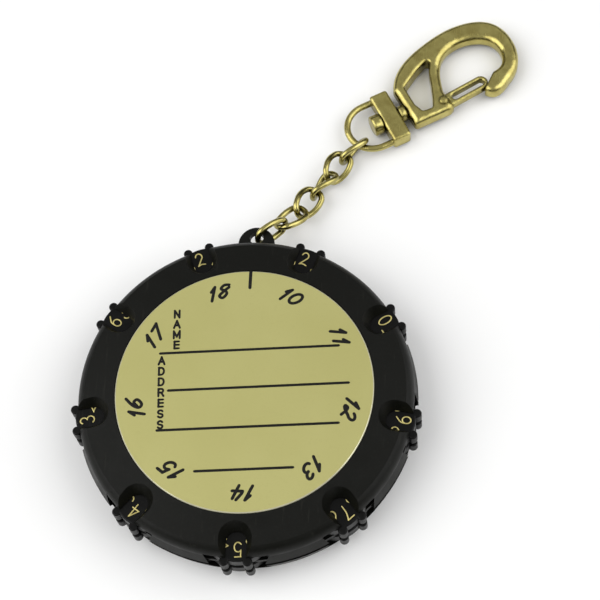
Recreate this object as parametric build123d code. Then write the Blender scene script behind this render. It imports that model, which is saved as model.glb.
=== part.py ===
from build123d import *
import math
import os

# A flat round eighteen-position counter that hangs on a chain and a snap hook.
# All lengths are millimetres. The origin is the centre of the rear label's outer
# face, +Z points out of the front face and +Y points towards the hanging lug.

# Case
CASE_HEIGHT = 12.8
MID_Z = CASE_HEIGHT / 2
PLATE_THICKNESS = 1.0
PLATE_RADIUS = 32.3
SEAM_RADIUS = 33.2
SHOULDER_RADIUS = 32.6
SHOULDER_HEIGHT = 9.5
FACE_EDGE_RADIUS = 31.0
FACE_EDGE_HEIGHT = 12.1
SHOULDER_BULGE = 0.4
FACE_INNER_HEIGHT = 12.74
WALL_INNER_RADIUS = 31.3
CAVITY_TOP = 9.95
FIT_GAP = 0.02

# Label discs
LABEL_RADIUS = 24.9
LABEL_THICKNESS = 0.6
LABEL_BEVEL = 0.2
LABEL_SEAT_RADIUS = 25.05
LABEL_SEAT_HEIGHT = CASE_HEIGHT - LABEL_THICKNESS

# Digit wheels, nine under the front shell and nine under the rear shell
STATIONS = 9
STATION_STEP = 360 / STATIONS
FIRST_STATION = 20
WHEEL_CENTRE_RADIUS = 26.3
WHEEL_BASE = 7.0
WHEEL_TOP = 9.75
WHEEL_BODY_RADIUS = 6.9
WHEEL_BORE_RADIUS = 0.95
LOBES = 10
LOBE_STEP = 360 / LOBES
LOBE_CIRCLE_RADIUS = 7.15
LOBE_RADIUS = 0.9
LOBE_EDGE_ROUND = 0.3
SLOT_RADIUS = 8.35
AXLE_RADIUS = 0.9
AXLE_END_GAP = 0.05

# Windows over the digits
WINDOW_CENTRE_RADIUS = 29.5
WINDOW_BOTTOM_HALF_WIDTH = 1.9
WINDOW_TOP_HALF_WIDTH = 3.45
WINDOW_BOTTOM = CAVITY_TOP - 0.05
WINDOW_TOP = CASE_HEIGHT + 0.1
WINDOW_REACH = 38.0

# Centre boss, rivet and detent rings
BOSS_RADIUS = 4.6
RIVET_RADIUS = 1.4
RIVET_HEAD_RADIUS = 3.0
RIVET_HEAD_THICKNESS = 0.5
RIVET_HEAD_SEAT = 11.6
RIVET_BORE_RADIUS = 0.6
HUB_RADIUS = 6.6
HUB_GAP = 0.1
DETENT_BASE = 7.3
DETENT_TOP = 8.7
DETENT_RING_OUTER = 17.2
DETENT_RING_INNER = 16.5
DETENT_SPOKE_WIDTH = 1.2
DETENT_SPOKE_ROOT = 0.3
DETENT_NOSE_RADIUS = 1.0
DETENT_NOSE_CENTRE = 18.0

# Hanging lug
LUG_CENTRE_Y = 34.0
LUG_RADIUS = 3.7
LUG_THICKNESS = 1.6
LUG_NECK_INSET = 0.5
LUG_EDGE_ROUND = 0.3
LUG_HOLE_Y = 35.2
LUG_HOLE_RADIUS = 1.4

# Chain of six oval links. Each link lies along its own heading (degrees from +X),
# dips below the horizontal and is rolled about its own length.
LINK_WIRE = 1.25
LINK_LENGTH = 8.24
LINK_WIDTH = 5.9
LINK_SLACK = 0.38
LINK_START_OFFSET = 0.2
LINK_HEADINGS = (39, 47, 57, 55, 60, 47)
LINK_DIPS = (10, 14, 8, 4, 3, 2)
LINK_ROLLS = (100, 40, -34, 58, -30, 56)

# Snap hook, drawn in its own plane: u runs from the swivel to the bow, v to its left
HOOK_HEADING = 27.15
HOOK_NECK = (29.58, 68.05)
HOOK_Z = 2.3

# Swivel eye
EYE_WIRE = 1.4
EYE_HALF_WIDTH = 5.45
EYE_BEND_U = -7.6
EYE_BAR_START_U = -5.5
EYE_BAR_END_U = -1.5
EYE_BAR_WIDTH = 12.3
EYE_BAR_THICKNESS = 3.4
EYE_BAR_ROUND = 0.5
EYE_BORE_RADIUS = 1.25

# Swivel stud
STUD_RADIUS = 1.2
STUD_HEAD_RADIUS = 2.2
STUD_HEAD_LENGTH = 2.1
STUD_GAP = 0.15
STUD_COLLAR_RADIUS = 1.8
STUD_COLLAR_LENGTH = 1.3
STUD_TENON_RADIUS = 1.0
STUD_TENON_LENGTH = 1.5
STUD_EDGE_ROUND = 0.3

# Hook body
HOOK_THICKNESS = 3.6
HOOK_CORNER_ROUND = 0.8
HOOK_EDGE_ROUND = 1.3
HOOK_WINDOW_EDGE_ROUND = 0.5
HOOK_OUTER = [
    (-0.1, 5.4), (2.6, 9.2), (10.5, 13.0), (20.0, 14.1), (26.6, 11.2), (28.5, 4.6), (23.2, -3.6),
]
HOOK_INNER = [
    (19.8, 0.2), (24.1, 1.6), (24.5, 6.2), (19.6, 9.5), (13.2, 8.1), (10.5, 4.0), (9.4, 0.2),
]
HOOK_NOSE_LIP = (16.8, -2.4)
HOOK_NOSE_BOTTOM = (18.2, -4.6)
HOOK_SHOULDER = [(9.9, -4.1), (8.6, -4.6), (0.3, -4.6)]
HOOK_SEAT_CENTRE = (19.1, -2.03)
HOOK_SEAT_TURN = 40.5
HOOK_SEAT_SIZE = 6.0
HOOK_WINDOW = [
    (2.3, 4.9), (6.6, 7.6), (10.8, 9.5), (8.7, 6.0), (7.6, 2.6),
    (6.2, -1.0), (5.4, -2.4), (3.2, -2.2), (2.4, 0.0),
]
HOOK_WINDOW_CORNER_ROUND = 0.6

# Gate, its pin and its spring
GATE_PIVOT = (8.2, -2.0)
GATE_REACH = 9.34
GATE_TURN = 5.5
GATE_WIDTH = 3.2
GATE_SLOT_WIDTH = 1.5
GATE_SLOT_START = 3.0
GATE_THICKNESS = 1.9
GATE_EDGE_ROUND = 0.35
GATE_BORE_RADIUS = 0.65
GATE_SPRING_POCKET_RADIUS = 1.3
GATE_SPRING_POCKET_DEPTH = 0.7
FORK_HEIGHT = 2.05
FORK_GAP = 0.2
FORK_REACH = 4.0
FORK_SWING = 28
FORK_STEPS = 4
GATE_PIN_RADIUS = 0.6
GATE_PIN_HEAD_RADIUS = 1.0
GATE_PIN_HEAD_HEIGHT = 0.25
SPRING_WIRE = 0.22
SPRING_RADIUS = 0.95
SPRING_PITCH = 0.26

# Cutters run this far past the faces that they cut
CUT_OVERRUN = 0.5


def cylinder(radius, low, high, x=0.0, y=0.0):
    """An upright cylinder between two heights."""
    return Pos(x, y, (low + high) / 2) * Cylinder(radius, high - low)


def prism(face, low, high):
    """A flat outline raised between two heights."""
    return Pos(0, 0, low) * extrude(face, high - low)


def station_angles():
    """Wheel stations as compass angles, clockwise from +Y."""
    return [FIRST_STATION + STATION_STEP * k for k in range(STATIONS)]


def at_station(angle, item):
    """Turns an item built on the +Y side to a station."""
    return Rot(0, 0, -angle) * item


def flipped(item):
    """Turns a front-side item over about +Y to its place on the rear side."""
    return Pos(0, 0, MID_Z) * Rot(0, 180, 0) * Pos(0, 0, -MID_Z) * item


def shell_blank():
    """The front half of the case as a solid of revolution."""
    base = MID_Z + PLATE_THICKNESS / 2
    chord = Line((FACE_EDGE_RADIUS, FACE_EDGE_HEIGHT), (SHOULDER_RADIUS, SHOULDER_HEIGHT))
    outwards = (chord % 0.5).rotate(Axis.Z, 90)
    bulge = (chord @ 0.5) + outwards * SHOULDER_BULGE
    outline = Curve() + [
        Line((0, base), (0, FACE_INNER_HEIGHT)),
        Line((0, FACE_INNER_HEIGHT), (LABEL_SEAT_RADIUS, FACE_INNER_HEIGHT)),
        Line((LABEL_SEAT_RADIUS, FACE_INNER_HEIGHT), (FACE_EDGE_RADIUS, FACE_EDGE_HEIGHT)),
        ThreePointArc((FACE_EDGE_RADIUS, FACE_EDGE_HEIGHT), bulge, (SHOULDER_RADIUS, SHOULDER_HEIGHT)),
        Line((SHOULDER_RADIUS, SHOULDER_HEIGHT), (SEAM_RADIUS, base)),
        Line((SEAM_RADIUS, base), (0, base)),
    ]
    return revolve(Plane.XZ * make_face(outline), Axis.Z)


def window_outline(half_width):
    """A U-shaped outline, open towards the rim."""
    left, right = -half_width, half_width
    outline = Curve() + [
        Line((left, WINDOW_CENTRE_RADIUS), (left, WINDOW_REACH)),
        Line((left, WINDOW_REACH), (right, WINDOW_REACH)),
        Line((right, WINDOW_REACH), (right, WINDOW_CENTRE_RADIUS)),
        ThreePointArc(
            (right, WINDOW_CENTRE_RADIUS),
            (0, WINDOW_CENTRE_RADIUS - half_width),
            (left, WINDOW_CENTRE_RADIUS),
        ),
    ]
    return make_face(outline)


def window_cutter():
    """The bevelled notch through which one digit shows."""
    bottom = Pos(0, 0, WINDOW_BOTTOM) * window_outline(WINDOW_BOTTOM_HALF_WIDTH)
    top = Pos(0, 0, WINDOW_TOP) * window_outline(WINDOW_TOP_HALF_WIDTH)
    return loft([bottom, top])


def make_front_shell():
    """Front half of the case: face, wall, boss, windows and wheel slots."""
    base = MID_Z + PLATE_THICKNESS / 2
    cavity = cylinder(WALL_INNER_RADIUS, base - CUT_OVERRUN, CAVITY_TOP)
    boss = prism(RegularPolygon(BOSS_RADIUS, 6), base, CAVITY_TOP)
    shell = shell_blank() - (cavity - boss)
    shell -= cylinder(LABEL_SEAT_RADIUS, LABEL_SEAT_HEIGHT, CASE_HEIGHT)
    shell -= cylinder(RIVET_HEAD_RADIUS + FIT_GAP, RIVET_HEAD_SEAT, CASE_HEIGHT)
    shell -= cylinder(RIVET_RADIUS + FIT_GAP, base - CUT_OVERRUN, CASE_HEIGHT)
    window = window_cutter()
    slot = cylinder(SLOT_RADIUS, base - CUT_OVERRUN, CAVITY_TOP, y=WHEEL_CENTRE_RADIUS)
    for angle in station_angles():
        shell -= at_station(angle, window)
        shell -= at_station(angle, slot)
    return shell


def make_label():
    """Front label disc with a bevelled edge."""
    disc = cylinder(LABEL_RADIUS, LABEL_SEAT_HEIGHT, CASE_HEIGHT)
    return chamfer(disc.edges().sort_by(Axis.Z)[-1], LABEL_BEVEL)


def lug_outline():
    """A round-ended tab on the +Y side of the plate."""
    skirt = Pos(0, LUG_CENTRE_Y - LUG_RADIUS / 2) * Rectangle(2 * LUG_RADIUS, LUG_RADIUS)
    return Pos(0, LUG_CENTRE_Y) * Circle(LUG_RADIUS) + skirt


def make_middle_plate():
    """Divider between the two wheel layers, with the hanging lug."""
    low, high = MID_Z - PLATE_THICKNESS / 2, MID_Z + PLATE_THICKNESS / 2
    lug = prism(lug_outline(), MID_Z - LUG_THICKNESS / 2, MID_Z + LUG_THICKNESS / 2)
    lug -= cylinder(SEAM_RADIUS + FIT_GAP, 0, CASE_HEIGHT)
    lug = round_faces_up_and_down(lug, LUG_EDGE_ROUND)
    neck_width = 2 * (LUG_RADIUS - LUG_NECK_INSET)
    neck = prism(Pos(0, SEAM_RADIUS - LUG_RADIUS) * Rectangle(neck_width, 2 * LUG_RADIUS), low, high)
    plate = cylinder(PLATE_RADIUS, low, high) + neck + lug
    plate -= cylinder(LUG_HOLE_RADIUS, 0, CASE_HEIGHT, y=LUG_HOLE_Y)
    plate -= cylinder(RIVET_RADIUS + FIT_GAP, 0, CASE_HEIGHT)
    axle_hole = cylinder(AXLE_RADIUS + FIT_GAP, 0, CASE_HEIGHT, y=WHEEL_CENTRE_RADIUS)
    for angle in station_angles():
        plate -= at_station(angle, axle_hole)
    return plate


def make_wheel():
    """A ten-lobed digit wheel on the +Y side, with a valley facing outwards."""
    outline = Circle(WHEEL_BODY_RADIUS)
    lobe = Pos(0, LOBE_CIRCLE_RADIUS) * Circle(LOBE_RADIUS)
    for k in range(LOBES):
        outline += Rot(0, 0, LOBE_STEP * (k + 0.5)) * lobe
    wheel = prism(outline, WHEEL_BASE, WHEEL_TOP)
    wheel = round_faces_up_and_down(wheel, LOBE_EDGE_ROUND)
    wheel -= cylinder(WHEEL_BORE_RADIUS, 0, CASE_HEIGHT)
    return Pos(0, WHEEL_CENTRE_RADIUS, 0) * wheel


def make_axle_pins():
    """Nine pins pressed through the plate; each carries a front and a rear wheel."""
    half = WHEEL_TOP + AXLE_END_GAP - MID_Z
    pin = cylinder(AXLE_RADIUS, MID_Z - half, MID_Z + half, y=WHEEL_CENTRE_RADIUS)
    return Compound(children=[at_station(angle, pin) for angle in station_angles()])


def make_detent_ring():
    """A moulded spring ring whose nine noses drop between the wheels' lobes."""
    outline = Circle(DETENT_RING_OUTER) - Circle(DETENT_RING_INNER) + Circle(HUB_RADIUS)
    span = DETENT_RING_INNER + HUB_RADIUS
    spoke_length = DETENT_RING_INNER - HUB_RADIUS + 2 * DETENT_SPOKE_ROOT
    spoke = Pos(0, span / 2) * Rectangle(DETENT_SPOKE_WIDTH, spoke_length)
    nose = Pos(0, DETENT_NOSE_CENTRE) * Circle(DETENT_NOSE_RADIUS)
    for angle in station_angles():
        outline += at_station(angle, nose)
        outline += at_station(angle + STATION_STEP / 2, spoke)
    outline -= RegularPolygon(BOSS_RADIUS + HUB_GAP, 6)
    return prism(outline, DETENT_BASE, DETENT_TOP)


def make_centre_rivet():
    """Tubular rivet that clamps both shells to the plate, under the labels."""
    low, high = CASE_HEIGHT - RIVET_HEAD_SEAT, RIVET_HEAD_SEAT
    shank = cylinder(RIVET_RADIUS, low, high)
    heads = cylinder(RIVET_HEAD_RADIUS, high, high + RIVET_HEAD_THICKNESS)
    heads += cylinder(RIVET_HEAD_RADIUS, low - RIVET_HEAD_THICKNESS, low)
    return shank + heads - cylinder(RIVET_BORE_RADIUS, 0, CASE_HEIGHT)


def link_planes():
    """A plane for each chain link: origin at its centre, x along it, z across its face."""
    reach = LINK_LENGTH - LINK_WIRE
    first = math.radians(LINK_HEADINGS[0])
    start = Vector(0, LUG_HOLE_Y, MID_Z) + Vector(math.cos(first), math.sin(first)) * LINK_START_OFFSET
    planes = []
    for heading, dip, roll in zip(LINK_HEADINGS, LINK_DIPS, LINK_ROLLS):
        turned = Plane(start) * Rot(0, 0, heading) * Rot(0, dip, 0) * Rot(-roll, 0, 0)
        along = Plane(turned).x_dir
        planes.append(Plane(origin=start + along * (reach / 2), x_dir=along, z_dir=Plane(turned).z_dir))
        start = start + along * (reach - LINK_WIRE - LINK_SLACK)
    return planes


def make_link():
    """One oval link, centred, lying flat along X."""
    bend = (LINK_WIDTH - LINK_WIRE) / 2
    half = (LINK_LENGTH - LINK_WIDTH) / 2
    path = Wire([
        Line((0, -bend), (half, -bend)),
        ThreePointArc((half, -bend), (half + bend, 0), (half, bend)),
        Line((half, bend), (-half, bend)),
        ThreePointArc((-half, bend), (-half - bend, 0), (-half, -bend)),
        Line((-half, -bend), (0, -bend)),
    ])
    section = Plane(origin=(0, -bend, 0), z_dir=(1, 0, 0)) * Circle(LINK_WIRE / 2)
    return sweep(section, path=path)


def hook_plane():
    """The hook's mid-plane: x from the swivel to the bow, y to its left."""
    turn = math.radians(HOOK_HEADING)
    return Plane(
        origin=(HOOK_NECK[0], HOOK_NECK[1], HOOK_Z),
        x_dir=(math.cos(turn), math.sin(turn), 0),
        z_dir=(0, 0, 1),
    )


def along_u(radius, start, end):
    """A cylinder along the swivel's axis, in the hook's own frame."""
    return Pos((start + end) / 2, 0, 0) * Rot(0, 90, 0) * Cylinder(radius, end - start)


def slab(face, thickness):
    """A flat outline thickened evenly about the hook's mid-plane."""
    return extrude(face, thickness / 2, both=True)


def round_faces_up_and_down(item, radius):
    """Rounds the edges of an item's top and bottom faces."""
    faces = item.faces().sort_by(Axis.Z)
    return fillet(faces[0].edges() + faces[-1].edges(), radius)


def make_swivel_eye():
    """D-shaped wire eye with a bored cross bar."""
    side = EYE_HALF_WIDTH
    path = Wire([
        Line((EYE_BAR_END_U - EYE_WIRE, -side), (EYE_BEND_U, -side)),
        ThreePointArc((EYE_BEND_U, -side), (EYE_BEND_U - side, 0), (EYE_BEND_U, side)),
        Line((EYE_BEND_U, side), (EYE_BAR_END_U - EYE_WIRE, side)),
    ])
    section = Plane(origin=path @ 0, z_dir=path % 0) * Circle(EYE_WIRE / 2)
    loop = sweep(section, path=path)
    bar = Box(EYE_BAR_END_U - EYE_BAR_START_U, EYE_BAR_WIDTH, EYE_BAR_THICKNESS)
    bar = Pos((EYE_BAR_START_U + EYE_BAR_END_U) / 2, 0, 0) * fillet(bar.edges(), EYE_BAR_ROUND)
    bore = along_u(EYE_BORE_RADIUS, EYE_BAR_START_U - CUT_OVERRUN, EYE_BAR_END_U + CUT_OVERRUN)
    return hook_plane() * (loop + bar - bore)


def make_swivel_stud():
    """Headed stud that turns in the eye and is held in the hook."""
    head_end = EYE_BAR_START_U - STUD_GAP
    collar_start = EYE_BAR_END_U + STUD_GAP
    collar_end = collar_start + STUD_COLLAR_LENGTH
    head = along_u(STUD_HEAD_RADIUS, head_end - STUD_HEAD_LENGTH, head_end)
    head = fillet(head.edges(), STUD_EDGE_ROUND)
    stud = head + along_u(STUD_RADIUS, head_end - CUT_OVERRUN, collar_start)
    stud += along_u(STUD_COLLAR_RADIUS, collar_start, collar_end)
    stud += along_u(STUD_TENON_RADIUS, collar_end, collar_end + STUD_TENON_LENGTH)
    return hook_plane() * stud


def hook_outline():
    """Outline of the hook's body: the bow, the nose, the shoulder and the root."""
    edges = [
        Spline(HOOK_OUTER),
        Spline(HOOK_OUTER[-1], HOOK_NOSE_BOTTOM, HOOK_NOSE_LIP),
        Line(HOOK_NOSE_LIP, HOOK_INNER[0]),
        Spline(HOOK_INNER),
        Polyline(HOOK_INNER[-1], *HOOK_SHOULDER, HOOK_OUTER[0]),
    ]
    outline = make_face(Curve() + edges)
    return fillet(outline.vertices(), HOOK_CORNER_ROUND)


def make_hook_body():
    """Cast hook with a second, closed opening and a fork for the gate."""
    body = slab(hook_outline(), HOOK_THICKNESS)
    body = round_faces_up_and_down(body, HOOK_EDGE_ROUND)
    through = HOOK_THICKNESS + 2 * CUT_OVERRUN
    seat = Pos(0, HOOK_SEAT_SIZE / 2) * Box(HOOK_SEAT_SIZE, HOOK_SEAT_SIZE, through)
    body -= Pos(*HOOK_SEAT_CENTRE) * Rot(0, 0, HOOK_SEAT_TURN) * seat
    window = make_face(Polyline(*HOOK_WINDOW, close=True))
    window = fillet(window.vertices(), HOOK_WINDOW_CORNER_ROUND)
    body -= slab(window, through)
    faces = body.faces().sort_by(Axis.Z)
    rims = [wire for face in (faces[0], faces[-1]) for wire in face.inner_wires()]
    body = fillet([edge for rim in rims for edge in rim.edges()], HOOK_WINDOW_EDGE_ROUND)
    collar_end = EYE_BAR_END_U + STUD_GAP + STUD_COLLAR_LENGTH
    tenon_end = collar_end + STUD_TENON_LENGTH + FIT_GAP
    body -= along_u(STUD_TENON_RADIUS + FIT_GAP, collar_end - CUT_OVERRUN, tenon_end)
    for k in range(FORK_STEPS + 1):
        turn = GATE_TURN + k * FORK_SWING / FORK_STEPS
        body -= slab(gate_bar(GATE_WIDTH + 2 * FORK_GAP, FORK_REACH, turn), FORK_HEIGHT)
    body -= Pos(*GATE_PIVOT) * Cylinder(GATE_PIN_RADIUS + FIT_GAP, through)
    return hook_plane() * body


def gate_bar(width, reach, turn, start=0.0):
    """A round-ended bar that points away from the gate's pivot."""
    bar = SlotCenterToCenter(reach - start, width)
    return Pos(*GATE_PIVOT) * Rot(0, 0, turn) * Pos((start + reach) / 2, 0) * bar


def make_gate():
    """Slotted lever that closes the hook's mouth."""
    gate = slab(gate_bar(GATE_WIDTH, GATE_REACH, GATE_TURN), GATE_THICKNESS)
    slot = gate_bar(GATE_SLOT_WIDTH, GATE_REACH, GATE_TURN, GATE_SLOT_START)
    gate -= slab(slot, GATE_THICKNESS + CUT_OVERRUN)
    gate = round_faces_up_and_down(gate, GATE_EDGE_ROUND)
    gate -= Pos(*GATE_PIVOT) * Cylinder(GATE_BORE_RADIUS, GATE_THICKNESS + CUT_OVERRUN)
    pocket_floor = GATE_THICKNESS / 2 - GATE_SPRING_POCKET_DEPTH
    gate -= Pos(*GATE_PIVOT) * cylinder(GATE_SPRING_POCKET_RADIUS, pocket_floor, GATE_THICKNESS)
    return hook_plane() * gate


def make_gate_pin():
    """Riveted pin through the fork and the gate."""
    half = HOOK_THICKNESS / 2
    head = Cylinder(GATE_PIN_HEAD_RADIUS, GATE_PIN_HEAD_HEIGHT)
    pin = cylinder(GATE_PIN_RADIUS, -half, half)
    for side in (-1, 1):
        pin += Pos(0, 0, side * (half + GATE_PIN_HEAD_HEIGHT / 2)) * head
    return hook_plane() * Pos(*GATE_PIVOT) * pin


def make_gate_spring():
    """Torsion coil round the gate's pin."""
    top = FORK_HEIGHT / 2 - SPRING_WIRE / 2 - FIT_GAP
    low = GATE_THICKNESS / 2 - GATE_SPRING_POCKET_DEPTH + SPRING_WIRE / 2 + FIT_GAP
    coil = Helix(pitch=SPRING_PITCH, height=top - low, radius=SPRING_RADIUS)
    section = Plane(origin=coil @ 0, z_dir=coil % 0) * Circle(SPRING_WIRE / 2)
    spring = sweep(section, path=coil, is_frenet=True)
    return hook_plane() * Pos(*GATE_PIVOT, low) * spring


def build():
    """Every piece by node name."""
    shell = make_front_shell()
    label = make_label()
    ring = make_detent_ring()
    wheel = make_wheel()
    pieces = {
        "front_shell": shell,
        "rear_shell": flipped(shell),
        "middle_plate": make_middle_plate(),
        "front_label": label,
        "rear_label": flipped(label),
        "axle_pins": make_axle_pins(),
        "front_detent_ring": ring,
        "rear_detent_ring": flipped(ring),
        "centre_rivet": make_centre_rivet(),
        "swivel_eye": make_swivel_eye(),
        "swivel_stud": make_swivel_stud(),
        "hook_body": make_hook_body(),
        "gate": make_gate(),
        "gate_pin": make_gate_pin(),
        "gate_spring": make_gate_spring(),
    }
    for k, angle in enumerate(station_angles()):
        turned = at_station(angle, wheel)
        pieces[f"counter_wheel_{STATIONS + 1 + k:02d}"] = turned
        pieces[f"counter_wheel_{1 + k:02d}"] = flipped(turned)
    for k, plane in enumerate(link_planes()):
        pieces[f"chain_link_{k + 1}"] = plane * make_link()
    return pieces


os.makedirs("parts", exist_ok=True)
for name, piece in build().items():
    export_step(piece, f"parts/{name}.step")
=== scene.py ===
import math
import bmesh
import bpy
import numpy as np
from mathutils import Matrix, Vector


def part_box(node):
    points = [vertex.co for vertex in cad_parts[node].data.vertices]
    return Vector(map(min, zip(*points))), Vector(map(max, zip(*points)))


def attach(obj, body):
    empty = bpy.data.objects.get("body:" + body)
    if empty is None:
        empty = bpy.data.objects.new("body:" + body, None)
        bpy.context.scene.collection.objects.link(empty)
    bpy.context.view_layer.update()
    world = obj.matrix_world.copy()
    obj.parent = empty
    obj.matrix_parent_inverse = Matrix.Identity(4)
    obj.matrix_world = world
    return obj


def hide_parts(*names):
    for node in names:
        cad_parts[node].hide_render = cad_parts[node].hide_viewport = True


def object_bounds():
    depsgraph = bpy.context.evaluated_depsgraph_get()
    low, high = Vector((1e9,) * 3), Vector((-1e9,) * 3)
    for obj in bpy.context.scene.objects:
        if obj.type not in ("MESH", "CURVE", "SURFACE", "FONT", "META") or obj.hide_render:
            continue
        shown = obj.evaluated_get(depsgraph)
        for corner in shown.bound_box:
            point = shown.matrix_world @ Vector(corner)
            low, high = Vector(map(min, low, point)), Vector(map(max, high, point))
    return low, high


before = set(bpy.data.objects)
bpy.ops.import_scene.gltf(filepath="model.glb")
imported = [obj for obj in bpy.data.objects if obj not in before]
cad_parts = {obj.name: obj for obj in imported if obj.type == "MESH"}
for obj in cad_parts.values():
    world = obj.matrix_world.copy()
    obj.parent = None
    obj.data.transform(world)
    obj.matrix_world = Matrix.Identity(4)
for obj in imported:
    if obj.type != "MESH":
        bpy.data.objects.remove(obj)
cad_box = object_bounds()

# Looks for a black eighteen-position counter on a brass chain and snap hook.
# Lengths below are millimetres; MM turns them into the frame's metres.
MM = 0.001

# Camera
CAMERA_TARGET = (10.0, 18.6)
CAMERA_DISTANCE = 307.0
CAMERA_AZIMUTH = 11.8
CAMERA_ELEVATION = 64.1
CAMERA_ROLL = -10.4
CAMERA_LENS = 94.3

# Digits on the wheels
STATIONS = 9
DIGIT_STEP = 36
DIGIT_CENTRE_RADIUS = 4.6
DIGIT_TURN = 4.5
DIGIT_HEIGHT = 2.75
DIGIT_SQUEEZE = 0.86
DIGIT_STROKE = 0.3
DIGIT_RISE = 0.07
DIGITS_PER_WHEEL = 10
FRONT_SHOWN = (2, 0, 9, 7, 5, 4, 3, 6, 2)
REAR_SHOWN = (4, 5, 3, 4, 6, 4, 5, 3, 4)

# Print on the labels
NUMBER_RADIUS = 21.0
NUMBER_HEIGHT = 2.7
NUMBER_STROKE = 0.74
NUMBER_SLANT = 0.42
NUMBER_ADVANCE = 2.15
NUMBER_SHIFTS = (3, -1, 1, -1, -3, -3, -2, 0, 3)
NUMBER_TILTS = (4, 12, 6, -6, 4, 0, -4, 2, 0)
PRINT_RISE = 0.02
PRINT_SINK = 0.05
TICK = (21.3, 24.6)
TICK_WIDTH = 0.8
FORM_TURN = 3.3
RULE_WIDTH = 0.64
RULES = ((7.94, -16.2, 18.3), (0.12, -14.5, 20.0), (-7.94, -16.5, 17.85), (-16.4, -9.2, 9.15))
LETTER_HEIGHT = 1.45
LETTER_STROKE = 0.52
LETTER_STEP = 2.2
HEADINGS = (("NAME", -13.1, 16.2), ("ADDRESS", -15.95, 6.4))

# Section and rounded ends of a printed stroke, as shares of its half width and rise
SHOULDER_SHARE = 0.78
SHOULDER_RISE = 0.75
CAP_ANGLES = (30, 55, 75)

# Chain links. LINK_TURNS is how far, in degrees, the wire is turned about the chain's line at each
# meeting point from the lug to the swivel eye. LINK_HEADING is roughly the chain's way, from +X.
# A larger LINK_SQUARENESS makes a link's straight sides longer.
LINK_TURNS = (0, 5, 31, -31, 32, -32, 0)
LINK_HEADING = 50
LINK_SQUARENESS = 1.6
LINK_STATIONS = 64
WIRE_SIDES = 16
AXIS_ROUNDS = 3

# Studio. SKY is brightness at heights from the horizon up to overhead. A softbox has a name,
# azimuth and elevation in degrees, and power in watts.
SKY = ((0.02, 0.03), (0.38, 0.08), (0.58, 0.62), (0.85, 0.48))
SOFTBOXES = (("key", -75, 42, 9.3), ("fill", 95, 38, 7.4))
SOFTBOX_DISTANCE = 1000
SOFTBOX_SIZE = 1200
FLOOR_DROP = 0.05
FLOOR_SIZE = 4000


# ---------------------------------------------------------------- strokes

def arc(cx, cy, rx, ry, start, end, step=15):
    """Points along part of an ellipse, from one angle to another in degrees."""
    count = max(2, round(abs(end - start) / step))
    turns = [math.radians(start + (end - start) * k / count) for k in range(count + 1)]
    return [(cx + rx * math.cos(t), cy + ry * math.sin(t)) for t in turns]


def bow(points, count=6):
    """A smooth run of points through a few given ones."""
    ends = [points[0], *points, points[-1]]
    run = []
    for a, b, c, d in zip(ends, ends[1:], ends[2:], ends[3:]):
        for k in range(count):
            t = k / count
            weights = (-t + 2 * t**2 - t**3, 2 - 5 * t**2 + 3 * t**3, t + 4 * t**2 - 3 * t**3, t**3 - t**2)
            run.append(tuple(sum(w * p[i] for w, p in zip(weights, (a, b, c, d))) / 2 for i in (0, 1)))
    return run + [points[-1]]


SIX = [arc(0, -0.2, 0.29, 0.3, 180, 540), bow([(-0.29, -0.2), (-0.2, 0.18), (0.2, 0.5)])]

# Each glyph is a list of strokes in a box one unit high, centred on the origin
DIGITS = {
    "0": [arc(0, 0, 0.31, 0.5, 90, 450)],
    "1": [[(-0.16, 0.3), (0.04, 0.5)], [(0.04, 0.5), (0.04, -0.5)]],
    "2": [
        arc(0, 0.22, 0.28, 0.28, 165, -25) + [(-0.3, -0.47)],
        bow([(-0.3, -0.47), (0, -0.42), (0.3, -0.5)]),
    ],
    "3": [arc(-0.02, 0.25, 0.25, 0.25, 150, -80), arc(-0.02, -0.24, 0.3, 0.26, 80, -150)],
    "4": [[(0.12, -0.5), (0.12, 0.5)], [(0.12, 0.5), (-0.3, -0.17)], [(-0.3, -0.17), (0.3, -0.17)]],
    "5": [[(0.25, 0.5), (-0.2, 0.5)], [(-0.2, 0.5), (-0.24, 0.08)], arc(-0.02, -0.17, 0.3, 0.33, 135, -145)],
    "6": SIX,
    "7": [[(-0.3, 0.5), (0.3, 0.5)], bow([(0.3, 0.5), (0.02, 0.05), (-0.08, -0.5)])],
    "8": [arc(0, 0.26, 0.24, 0.24, -90, 270), arc(0, -0.24, 0.29, 0.27, 90, 450)],
    "9": [[(-x, -y) for x, y in stroke] for stroke in SIX],
}

HAND_SIX = bow(
    [(0.22, 0.52), (-0.22, 0.16), (-0.32, -0.24), (0, -0.48), (0.3, -0.24), (0.04, 0.04), (-0.22, -0.12)]
)

HAND_DIGITS = {
    **DIGITS,
    "0": [arc(0, 0, 0.34, 0.46, 90, 450)],
    "1": [[(-0.18, 0.2), (0.02, 0.5)], [(0.02, 0.5), (0, -0.5)]],
    "2": [
        arc(0.02, 0.2, 0.28, 0.28, 150, -40)
        + bow([(0.16, -0.06), (-0.1, -0.42), (-0.3, -0.46), (-0.32, -0.26), (-0.08, -0.26), (0.42, -0.5)])
    ],
    "4": [
        bow([(-0.16, 0.5), (-0.32, 0.02), (-0.28, -0.1)]),
        [(-0.28, -0.12), (0.4, -0.12)],
        [(0.14, 0.42), (0.14, -0.5)],
    ],
    "6": [HAND_SIX],
    "7": [[(-0.28, 0.42), (0.3, 0.5)], [(0.3, 0.5), (-0.06, -0.5)]],
    "8": [
        bow(
            [(0.3, 0.42), (-0.06, 0.48), (-0.26, 0.26), (0.1, 0.02), (0.26, -0.24)]
            + [(0, -0.48), (-0.28, -0.26), (-0.02, 0.0), (0.34, 0.22)]
        )
    ],
    "9": [[(-x, -y) for x, y in HAND_SIX]],
}

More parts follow.
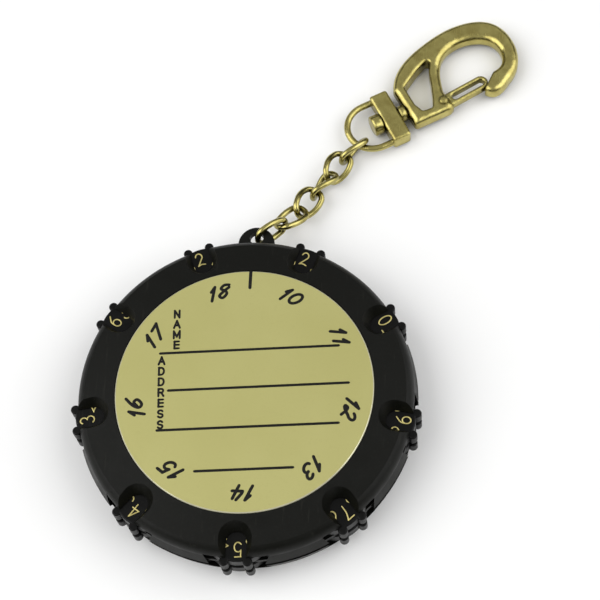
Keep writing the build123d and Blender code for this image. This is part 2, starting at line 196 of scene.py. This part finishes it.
LETTERS = {
    "N": [[(-0.32, -0.5), (-0.32, 0.5)], [(-0.32, 0.5), (0.32, -0.5)], [(0.32, -0.5), (0.32, 0.5)]],
    "A": [[(-0.38, -0.5), (0, 0.5)], [(0, 0.5), (0.38, -0.5)], [(-0.24, -0.16), (0.24, -0.16)]],
    "M": [
        [(-0.4, -0.5), (-0.4, 0.5)],
        [(-0.4, 0.5), (0, -0.3)],
        [(0, -0.3), (0.4, 0.5)],
        [(0.4, 0.5), (0.4, -0.5)],
    ],
    "E": [[(-0.28, -0.5), (-0.28, 0.5)]] + [[(-0.28, y), (0.28, y)] for y in (-0.5, 0.02, 0.5)],
    "D": [
        [(-0.32, -0.5), (-0.32, 0.5)],
        [(-0.32, 0.5), (-0.04, 0.5)] + arc(-0.04, 0, 0.38, 0.5, 90, -90) + [(-0.32, -0.5)],
    ],
    "R": [
        [(-0.32, -0.5), (-0.32, 0.5)],
        [(-0.32, 0.5), (0.06, 0.5)] + arc(0.06, 0.24, 0.24, 0.26, 90, -90) + [(-0.32, -0.02)],
        [(0.04, -0.02), (0.34, -0.5)],
    ],
    "S": [arc(0, 0.25, 0.3, 0.25, 30, 235) + arc(0, -0.25, 0.31, 0.25, 55, -150)],
}


def add_stroke(mesh, place, points, width, rise):
    """Adds one raised, round-ended stroke to a mesh. place maps glyph points to the frame."""
    points = [Vector(p) for p in points]
    closed = (points[0] - points[-1]).length < 1e-6
    ahead = [(b - a).normalized() for a, b in zip(points, points[1:])]
    around = ahead[-1:] + ahead if closed else ahead[:1] + ahead
    after = ahead + ahead[:1] if closed else ahead + ahead[-1:]
    stations = [(p, (a + b).normalized(), 1.0) for p, a, b in zip(points, around, after)]
    if not closed:
        start, end = (points[0], ahead[0]), (points[-1], ahead[-1])
        caps = [math.radians(a) for a in CAP_ANGLES]
        tail = [(end[0] + end[1] * width / 2 * math.sin(t), end[1], math.cos(t)) for t in caps]
        head = [
            (start[0] - start[1] * width / 2 * math.sin(t), start[1], math.cos(t)) for t in reversed(caps)
        ]
        stations = head + stations + tail
    shoulder = (SHOULDER_SHARE, SHOULDER_RISE * rise)
    profile = ((-1, -PRINT_SINK), (-shoulder[0], shoulder[1]), (0, rise), shoulder, (1, -PRINT_SINK))
    rings = []
    for centre, direction, share in stations:
        side = Vector((direction.y, -direction.x)) * width / 2 * share
        ring = [mesh.verts.new(place @ Vector((*(centre + side * s), h))) for s, h in profile]
        rings.append(ring)
    if closed:
        rings = rings[:-1] + rings[:1]
    for a, b in zip(rings, rings[1:]):
        for k in range(len(profile)):
            n = (k + 1) % len(profile)
            mesh.faces.new((a[k], a[n], b[n], b[k]))
    if not closed:
        mesh.faces.new(rings[0][::-1])
        mesh.faces.new(rings[-1])


def add_glyph(mesh, place, strokes, height, width, rise, slant=0.0, across=0.0):
    """Adds a glyph of a real height, moved across its line."""
    lean = [[(across + height * (x + slant * y), height * y) for x, y in stroke] for stroke in strokes]
    for stroke in lean:
        add_stroke(mesh, place, stroke, width, rise)


def facing(centre, outward, z, rear=False):
    """A place in millimetres whose Y axis is outward and whose Z axis leaves the face."""
    side = Vector((-outward.y, outward.x, 0)) if rear else Vector((outward.y, -outward.x, 0))
    up = Vector((outward.x, outward.y, 0))
    axes = Matrix((side, up, side.cross(up))).transposed().to_4x4()
    return Matrix.Translation((centre.x, centre.y, z)) @ axes


def finished(name, mesh, material, body):
    """Turns mesh code into a named piece that rides on a body."""
    bmesh.ops.recalc_face_normals(mesh, faces=mesh.faces)
    bmesh.ops.scale(mesh, vec=(MM, MM, MM), verts=mesh.verts)
    data = bpy.data.meshes.new(name)
    mesh.to_mesh(data)
    mesh.free()
    for face in data.polygons:
        face.use_smooth = True
    piece = bpy.data.objects.new(name, data)
    bpy.context.scene.collection.objects.link(piece)
    data.materials.append(material)
    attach(piece, body)
    return piece


# ---------------------------------------------------------------- materials

# Sockets of a Mix node that hold colours. The node has others of the same names.
MIX_COLOURS = (6, 7)
MIX_RESULT = 2


class Nodes:
    """A small helper that adds and wires the nodes of one material."""

    def __init__(self, name):
        self.material = bpy.data.materials.new(name)
        self.material.use_nodes = True
        self.tree = self.material.node_tree
        self.shader = self.tree.nodes["Principled BSDF"]
        self.place = self.add("ShaderNodeTexCoord").outputs["Object"]

    def add(self, kind, **values):
        """Adds a node with its own properties set."""
        node = self.tree.nodes.new(kind)
        for key, value in values.items():
            setattr(node, key, value)
        return node

    def link(self, output, socket):
        """Wires an output to a socket."""
        self.tree.links.new(output, socket)

    def set(self, **values):
        """Sets constant values on the shader's own sockets."""
        for key, value in values.items():
            self.shader.inputs[key.replace("_", " ")].default_value = value

    def stretched(self, scale):
        """The object's own coordinates, scaled along each axis."""
        mapping = self.add("ShaderNodeMapping")
        mapping.inputs["Scale"].default_value = scale
        self.link(self.place, mapping.inputs["Vector"])
        return mapping.outputs["Vector"]

    def noise(self, size, detail=3.0, rough=0.55, vector=None):
        """Cloudy noise whose features are about size millimetres across."""
        node = self.add("ShaderNodeTexNoise")
        node.inputs["Scale"].default_value = 1 / (size * MM)
        node.inputs["Detail"].default_value = detail
        node.inputs["Roughness"].default_value = rough
        self.link(vector or self.place, node.inputs["Vector"])
        return node.outputs["Fac"]

    def range(self, value, low, high, to_low, to_high):
        """Maps one range of a value onto another."""
        node = self.add("ShaderNodeMapRange")
        for key, number in zip(("From Min", "From Max", "To Min", "To Max"), (low, high, to_low, to_high)):
            node.inputs[key].default_value = number
        self.link(value, node.inputs["Value"])
        return node.outputs["Result"]

    def blend(self, share, a, b):
        """Mixes two colours, each a socket or a colour."""
        node = self.add("ShaderNodeMix", data_type="RGBA")
        self.link(share, node.inputs["Factor"])
        for key, colour in zip(MIX_COLOURS, (a, b)):
            if isinstance(colour, tuple):
                node.inputs[key].default_value = (*colour, 1)
            else:
                self.link(colour, node.inputs[key])
        return node.outputs[MIX_RESULT]

    def math(self, operation, a, b):
        """Combines two values, each a socket or a number."""
        node = self.add("ShaderNodeMath", operation=operation)
        for socket, value in zip(node.inputs, (a, b)):
            if isinstance(value, (int, float)):
                socket.default_value = value
            else:
                self.link(value, socket)
        return node.outputs["Value"]

    def slope(self, flat, steep):
        """Zero where a surface faces straight up or down, and one where it is steeper."""
        split = self.add("ShaderNodeSeparateXYZ")
        self.link(self.add("ShaderNodeNewGeometry").outputs["Normal"], split.inputs["Vector"])
        return self.range(self.math("ABSOLUTE", split.outputs["Z"], 0), flat, steep, 0, 1)

    def recess(self, reach):
        """One in narrow gaps and inner corners, and zero in the open."""
        node = self.add("ShaderNodeAmbientOcclusion", samples=6)
        node.inputs["Distance"].default_value = reach * MM
        return self.range(node.outputs["AO"], 0.35, 0.95, 1, 0)

    def scratches(self, size, length, angle):
        """Fine lines in one direction, as a value that is one on a line."""
        mapping = self.add("ShaderNodeMapping")
        mapping.inputs["Rotation"].default_value = (0, 0, math.radians(angle))
        mapping.inputs["Scale"].default_value = (1, length, 1)
        self.link(self.place, mapping.inputs["Vector"])
        value = self.noise(size, detail=2, vector=mapping.outputs["Vector"])
        return self.range(value, 0.66, 0.74, 0, 1)

    def softened(self, radius):
        """A normal that is rounded over near edges."""
        node = self.add("ShaderNodeBevel", samples=6)
        node.inputs["Radius"].default_value = radius * MM
        return node.outputs["Normal"]

    def bumps(self, *layers, normal=None):
        """Stacks bump layers, each a height socket and its depth in millimetres."""
        for height, depth in layers:
            bump = self.add("ShaderNodeBump")
            bump.inputs["Strength"].default_value = 1
            bump.inputs["Distance"].default_value = depth * MM
            self.link(height, bump.inputs["Height"])
            if normal:
                self.link(normal, bump.inputs["Normal"])
            normal = bump.outputs["Normal"]
        self.link(normal, self.shader.inputs["Normal"])


def black_plastic(name, colour, dust, roughness, grain):
    """Moulded black plastic: fine texture, handling marks and a little dust."""
    n = Nodes(name)
    cloud = n.noise(14)
    dusty = n.range(n.noise(0.5, detail=5, rough=0.7), 0.55, 0.75, 0, 0.5)
    marks = n.math("MAXIMUM", n.scratches(0.9, 0.06, 25), n.scratches(0.7, 0.05, -50))
    tone = n.blend(n.math("MULTIPLY", dusty, cloud), colour, dust)
    n.link(n.blend(n.math("MULTIPLY", marks, 0.35), tone, dust), n.shader.inputs["Base Color"])
    rough = n.range(n.noise(3, detail=4), 0.3, 0.7, roughness - 0.06, roughness + 0.08)
    n.link(n.math("ADD", rough, n.math("MULTIPLY", marks, 0.1)), n.shader.inputs["Roughness"])
    n.bumps((n.noise(9), 0.04), (n.noise(0.16, detail=2), grain), (marks, -0.004))
    n.set(Specular_IOR_Level=0.15)
    return n.material


def label_foil():
    """Satin champagne-gold foil with a fine grain, soft clouding and a painted highlight on its steep edges.
    """
    n = Nodes("label_foil")
    grain = n.noise(0.12, detail=3, vector=n.stretched((0.25, 1, 1)))
    cloud = n.range(n.noise(16, detail=2), 0.3, 0.7, 0, 1)
    base = n.blend(cloud, (0.455, 0.43, 0.16), (0.48, 0.455, 0.178))
    speck = n.range(n.noise(0.6, detail=4, rough=0.7), 0.56, 0.75, 0, 0.5)
    # Painted highlight: steep edge faces get a pale bright colour and a lower roughness.
    edge_highlight = n.slope(0.97, 0.9)
    face = n.blend(speck, base, (0.43, 0.4, 0.15))
    n.link(n.blend(edge_highlight, face, (0.9, 0.87, 0.62)), n.shader.inputs["Base Color"])
    satin = n.range(grain, 0.3, 0.7, 0.4, 0.52)
    n.link(n.math("SUBTRACT", satin, n.math("MULTIPLY", edge_highlight, 0.25)), n.shader.inputs["Roughness"])
    n.bumps((n.noise(6), 0.008), (grain, 0.003))
    n.set(Metallic=0.45, Specular_IOR_Level=0.4)
    return n.material


def ink():
    """Black screen-printed ink, slightly uneven."""
    n = Nodes("label_ink")
    black = n.blend(n.noise(0.4), (0.003, 0.003, 0.0025), (0.008, 0.0075, 0.006))
    n.link(black, n.shader.inputs["Base Color"])
    n.link(n.range(n.noise(0.3), 0.3, 0.7, 0.4, 0.6), n.shader.inputs["Roughness"])
    n.bumps((n.noise(0.12), 0.004))
    n.set(Specular_IOR_Level=0.2)
    return n.material


def foil_print():
    """Hot-stamped gold on the wheels' digits."""
    n = Nodes("digit_foil")
    n.link(n.blend(n.noise(0.5), (0.55, 0.46, 0.15), (0.68, 0.6, 0.25)), n.shader.inputs["Base Color"])
    n.link(n.range(n.noise(0.2), 0.3, 0.7, 0.3, 0.45), n.shader.inputs["Roughness"])
    n.bumps((n.noise(0.15), 0.008))
    n.set(Metallic=0.6)
    return n.material


def brass(name, bright, dull, roughness, waviness, softness):
    """Plated brass: polish lines, tarnish in patches, painted shade in recesses, and a gently uneven
    surface.
    """
    n = Nodes(name)
    patch = n.range(n.noise(2.6, detail=5, rough=0.6), 0.38, 0.68, 0, 1)
    spots = n.range(n.noise(0.35, detail=3), 0.6, 0.75, 0, 0.6)
    lines = n.math("MAXIMUM", n.scratches(0.35, 0.06, 70), n.scratches(0.3, 0.05, 15))
    tone = n.blend(spots, n.blend(patch, bright, dull), dull)
    # Painted shade: ambient occlusion darkens the colour in gaps and inner corners.
    recess_shade = n.math("MULTIPLY", n.recess(2.2), 0.85)
    n.link(n.blend(recess_shade, tone, tuple(0.22 * c for c in dull)), n.shader.inputs["Base Color"])
    rough = n.range(patch, 0, 1, roughness, roughness + 0.12)
    n.link(n.math("ADD", rough, n.math("MULTIPLY", lines, 0.12)), n.shader.inputs["Roughness"])
    waves = (n.noise(2.2, detail=1), waviness)
    n.bumps(waves, (n.noise(0.25, detail=3), 0.006), (lines, -0.003), normal=n.softened(softness))
    n.set(Metallic=1.0)
    return n.material


def nylon():
    """Slightly translucent white moulded nylon."""
    n = Nodes("nylon")
    n.link(n.blend(n.noise(5), (0.72, 0.7, 0.64), (0.8, 0.79, 0.74)), n.shader.inputs["Base Color"])
    n.link(n.range(n.noise(0.8), 0.3, 0.7, 0.35, 0.5), n.shader.inputs["Roughness"])
    n.bumps((n.noise(0.4), 0.01))
    n.set(Subsurface_Weight=0.15)
    return n.material


def steel():
    """Bright drawn steel."""
    n = Nodes("steel")
    n.link(n.blend(n.noise(0.8), (0.5, 0.49, 0.46), (0.62, 0.61, 0.58)), n.shader.inputs["Base Color"])
    n.link(n.range(n.noise(0.4), 0.3, 0.7, 0.22, 0.36), n.shader.inputs["Roughness"])
    n.bumps((n.noise(0.15), 0.004))
    n.set(Metallic=1.0)
    return n.material


def table_top():
    """Plain pale studio surface."""
    n = Nodes("table_top")
    n.link(n.blend(n.noise(60), (0.9, 0.9, 0.895), (0.92, 0.92, 0.915)), n.shader.inputs["Base Color"])
    n.link(n.range(n.noise(8), 0.3, 0.7, 0.75, 0.85), n.shader.inputs["Roughness"])
    n.bumps((n.noise(2), 0.01))
    n.set(Specular_IOR_Level=0.1)
    return n.material


def paint_nodes():
    """Gives every CAD node its finish."""
    case = black_plastic("case_plastic", (0.0036, 0.0038, 0.0026), (0.02, 0.02, 0.016), 0.42, 0.012)
    wheel = black_plastic("wheel_plastic", (0.0025, 0.0025, 0.0022), (0.014, 0.014, 0.012), 0.34, 0.006)
    foil = label_foil()
    chain = brass("chain_brass", (0.52, 0.455, 0.165), (0.3, 0.26, 0.08), 0.14, 0.05, 0.1)
    hook = brass("hook_brass", (0.54, 0.475, 0.165), (0.38, 0.32, 0.1), 0.15, 0.12, 0.8)
    rivet = brass("rivet_brass", (0.6, 0.5, 0.2), (0.4, 0.32, 0.12), 0.25, 0.02, 0.2)
    white, bright = nylon(), steel()
    finishes = {
        "front_shell": case, "rear_shell": case, "middle_plate": case,
        "front_label": foil, "rear_label": foil,
        "axle_pins": bright, "gate_pin": hook, "gate_spring": bright, "centre_rivet": rivet,
        "front_detent_ring": white, "rear_detent_ring": white,
        "swivel_eye": hook, "swivel_stud": hook, "hook_body": hook, "gate": hook,
    }
    twist_chain(chain)
    for name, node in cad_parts.items():
        if name.startswith("counter_wheel"):
            finish = wheel
        elif name.startswith("chain_link"):
            finish = chain
        else:
            finish = finishes[name]
        for slot in node.material_slots:
            slot.material = finish


# ---------------------------------------------------------------- print and digits

def middle(node):
    """Centre of a CAD node's box, in millimetres."""
    low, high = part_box(node)
    return (low + high) / 2 / MM


def wheel_digits(number, shown, rear, material):
    """The ten digits on one wheel's face; the shown one faces out of the case."""
    node = f"counter_wheel_{number:02d}"
    centre = middle(node)
    low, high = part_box(node)
    z = low.z / MM if rear else high.z / MM
    outward = Vector((centre.x, centre.y, 0)).normalized()
    wheel = facing(centre, outward, z, rear)
    mesh = bmesh.new()
    for k in range(DIGITS_PER_WHEEL):
        turned = wheel @ Matrix.Rotation(math.radians(DIGIT_STEP * k + DIGIT_TURN), 4, "Z")
        place = turned @ Matrix.Translation((0, DIGIT_CENTRE_RADIUS, 0))
        digit = DIGITS[str((shown + k) % DIGITS_PER_WHEEL)]
        strokes = [[(x * DIGIT_SQUEEZE, y) for x, y in stroke] for stroke in digit]
        add_glyph(mesh, place, strokes, DIGIT_HEIGHT, DIGIT_STROKE, DIGIT_RISE)
    return finished(f"wheel_digits_{number:02d}", mesh, material, f"wheel_{number:02d}")


def station_numbers(name, label, first, rear, material):
    """The position numbers round a label, each beside its wheel, and the tick at the lug."""
    low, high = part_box(label)
    z = low.z / MM if rear else high.z / MM
    mesh = bmesh.new()
    for k, (shift, tilt) in enumerate(zip(NUMBER_SHIFTS, NUMBER_TILTS)):
        wheel = middle(f"counter_wheel_{first + k:02d}")
        turn = Matrix.Rotation(math.radians(shift if rear else -shift), 3, "Z")
        outward = turn @ Vector((wheel.x, wheel.y, 0)).normalized()
        lean = Matrix.Rotation(math.radians(-tilt), 4, "Z")
        place = facing(outward * NUMBER_RADIUS, outward, z, rear) @ lean
        text = str(first + k)
        for i, digit in enumerate(text):
            across = NUMBER_ADVANCE * (i - (len(text) - 1) / 2)
            strokes = HAND_DIGITS[digit]
            add_glyph(mesh, place, strokes, NUMBER_HEIGHT, NUMBER_STROKE, PRINT_RISE, NUMBER_SLANT, across)
    top = facing(Vector((0, 0, 0)), Vector((0, 1, 0)), z, rear)
    add_stroke(mesh, top, [(0, TICK[0]), (0, TICK[1])], TICK_WIDTH, PRINT_RISE)
    return finished(name, mesh, material, "case")


def form_lines(material):
    """Ruled writing lines and their stacked headings on the front label."""
    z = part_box("front_label")[1].z / MM
    place = Matrix.Translation((0, 0, z)) @ Matrix.Rotation(math.radians(FORM_TURN), 4, "Z")
    mesh = bmesh.new()
    for height, start, end in RULES:
        add_stroke(mesh, place, [(start, height), (end, height)], RULE_WIDTH, PRINT_RISE)
    for word, x, top in HEADINGS:
        for k, letter in enumerate(word):
            spot = place @ Matrix.Translation((x, top - LETTER_STEP * k, 0))
            add_glyph(mesh, spot, LETTERS[letter], LETTER_HEIGHT, LETTER_STROKE, PRINT_RISE)
    return finished("form_lines", mesh, material, "case")


def print_everything():
    """Digits on all wheels and the print on both labels."""
    black, gold = ink(), foil_print()
    for k in range(STATIONS):
        wheel_digits(1 + k, REAR_SHOWN[k], True, gold)
        wheel_digits(STATIONS + 1 + k, FRONT_SHOWN[k], False, gold)
    station_numbers("front_numbers", "front_label", STATIONS + 1, False, black)
    station_numbers("rear_numbers", "rear_label", 1, True, black)
    form_lines(black)


# ---------------------------------------------------------------- chain

def link_axes(node):
    """Centre, long, cross and thin directions, and the three sizes of a chain link, in millimetres."""
    points = np.array([(node.matrix_world @ v.co)[:] for v in node.data.vertices]) / MM
    centre = (points.min(axis=0) + points.max(axis=0)) / 2
    for _ in range(AXIS_ROUNDS):
        axes = np.linalg.svd(points - centre, full_matrices=False)[2]
        spread = (points - centre) @ axes.T
        centre = centre + (spread.min(axis=0) + spread.max(axis=0)) / 2 @ axes
    sizes = spread.max(axis=0) - spread.min(axis=0)
    return Vector(centre), [Vector(a) for a in axes], sizes


def twisted_link(number, start_turn, end_turn, material):
    """One link of twisted wire in the place of the flat link, turned differently at its two ends."""
    name = f"chain_link_{number}"
    centre, (long, cross, _), (length, width, wire) = link_axes(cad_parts[name])
    heading = math.radians(LINK_HEADING)
    travel = Vector((math.cos(heading), math.sin(heading), 0))
    long = long if long.dot(travel) > 0 else -long
    thin = long.cross(cross)
    bend, half = (width - wire) / 2, (length - width) / 2
    reach = half + bend

    def at(share):
        """Point and thin direction at a share of the way round."""
        t = 2 * math.pi * share
        x = half * max(-1, min(1, LINK_SQUARENESS * math.cos(t))) + bend * math.cos(t)
        y = bend * math.sin(t)
        turn = math.radians(start_turn + (end_turn - start_turn) * (x / reach + 1) / 2)
        side = cross * math.cos(turn) + thin * math.sin(turn)
        return centre + long * x + side * y, thin * math.cos(turn) - cross * math.sin(turn)

    mesh = bmesh.new()
    rings = []
    for k in range(LINK_STATIONS):
        point, up = at(k / LINK_STATIONS)
        ahead = (at((k + 0.5) / LINK_STATIONS)[0] - at((k - 0.5) / LINK_STATIONS)[0]).normalized()
        up = (up - ahead * up.dot(ahead)).normalized()
        out = ahead.cross(up)
        turns = [2 * math.pi * i / WIRE_SIDES for i in range(WIRE_SIDES)]
        spokes = [up * math.cos(a) + out * math.sin(a) for a in turns]
        rings.append([mesh.verts.new(point + spoke * wire / 2) for spoke in spokes])
    for a, b in zip(rings, rings[1:] + rings[:1]):
        for i in range(WIRE_SIDES):
            j = (i + 1) % WIRE_SIDES
            mesh.faces.new((a[i], a[j], b[j], b[i]))
    piece = finished(f"twisted_link_{number}", mesh, material, f"link_{number}")
    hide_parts(name)


def twist_chain(material):
    """Twisted wire for all the links between the lug and the swivel eye."""
    for k, (start, end) in enumerate(zip(LINK_TURNS, LINK_TURNS[1:])):
        twisted_link(k + 1, start, end, material)


# ---------------------------------------------------------------- studio

def add_camera():
    """A long lens above and in front of the counter, leaning a little."""
    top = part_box("front_label")[1].z
    target = Vector((CAMERA_TARGET[0] * MM, CAMERA_TARGET[1] * MM, top))
    across, tip = math.radians(CAMERA_AZIMUTH), math.radians(90 - CAMERA_ELEVATION)
    turn = Matrix.Rotation(across, 4, "Z") @ Matrix.Rotation(tip, 4, "X")
    camera = bpy.data.objects.new("camera", bpy.data.cameras.new("camera"))
    camera.data.lens = CAMERA_LENS
    camera.data.clip_start = 0.01
    back = turn @ Vector((0, 0, CAMERA_DISTANCE * MM))
    lean = Matrix.Rotation(math.radians(CAMERA_ROLL), 4, "Z")
    camera.matrix_world = Matrix.Translation(target + back) @ turn @ lean
    bpy.context.scene.collection.objects.link(camera)
    bpy.context.scene.camera = camera


def add_softbox(name, azimuth, elevation, power):
    """A square area light that faces the object."""
    data = bpy.data.lights.new(name, "AREA")
    data.size = SOFTBOX_SIZE * MM
    data.energy = power
    light = bpy.data.objects.new(name, data)
    a, e = math.radians(azimuth), math.radians(elevation)
    away = Vector((math.sin(a) * math.cos(e), -math.cos(a) * math.cos(e), math.sin(e)))
    light.location = away * SOFTBOX_DISTANCE * MM
    light.rotation_euler = away.to_track_quat("Z", "Y").to_euler()
    bpy.context.scene.collection.objects.link(light)


def add_floor():
    """A plain pale surface just under the object."""
    mesh = bmesh.new()
    z = cad_box[0].z / MM - FLOOR_DROP
    half = FLOOR_SIZE / 2
    corners = [(x * half, y * half, z) for x, y in ((-1, -1), (1, -1), (1, 1), (-1, 1))]
    mesh.faces.new([mesh.verts.new(Vector(c) * MM) for c in corners])
    data = bpy.data.meshes.new("floor")
    mesh.to_mesh(data)
    mesh.free()
    floor = bpy.data.objects.new("floor", data)
    data.materials.append(table_top())
    bpy.context.scene.collection.objects.link(floor)


def add_sky():
    """A sky that is dark at the horizon and brighter overhead, so that metal shows its form."""
    world = bpy.data.worlds.new("studio")
    world.use_nodes = True
    nodes, links = world.node_tree.nodes, world.node_tree.links
    place = nodes.new("ShaderNodeTexCoord")
    split = nodes.new("ShaderNodeSeparateXYZ")
    ramp = nodes.new("ShaderNodeValToRGB")
    overhead = SKY[-1][1]
    ramp.color_ramp.elements[1].color = (overhead, overhead, overhead, 1)
    for height, glow in SKY:
        stop = ramp.color_ramp.elements.new(height)
        stop.color = (glow, glow, glow, 1)
    links.new(place.outputs["Generated"], split.inputs["Vector"])
    links.new(split.outputs["Z"], ramp.inputs["Fac"])
    links.new(ramp.outputs["Color"], nodes["Background"].inputs["Color"])
    bpy.context.scene.world = world


def add_studio():
    """Floor, sky and two softboxes."""
    add_floor()
    add_sky()
    for name, azimuth, elevation, power in SOFTBOXES:
        add_softbox(name, azimuth, elevation, power)
    bpy.context.scene.view_settings.view_transform = "Standard"


paint_nodes()
print_everything()
add_camera()
add_studio()
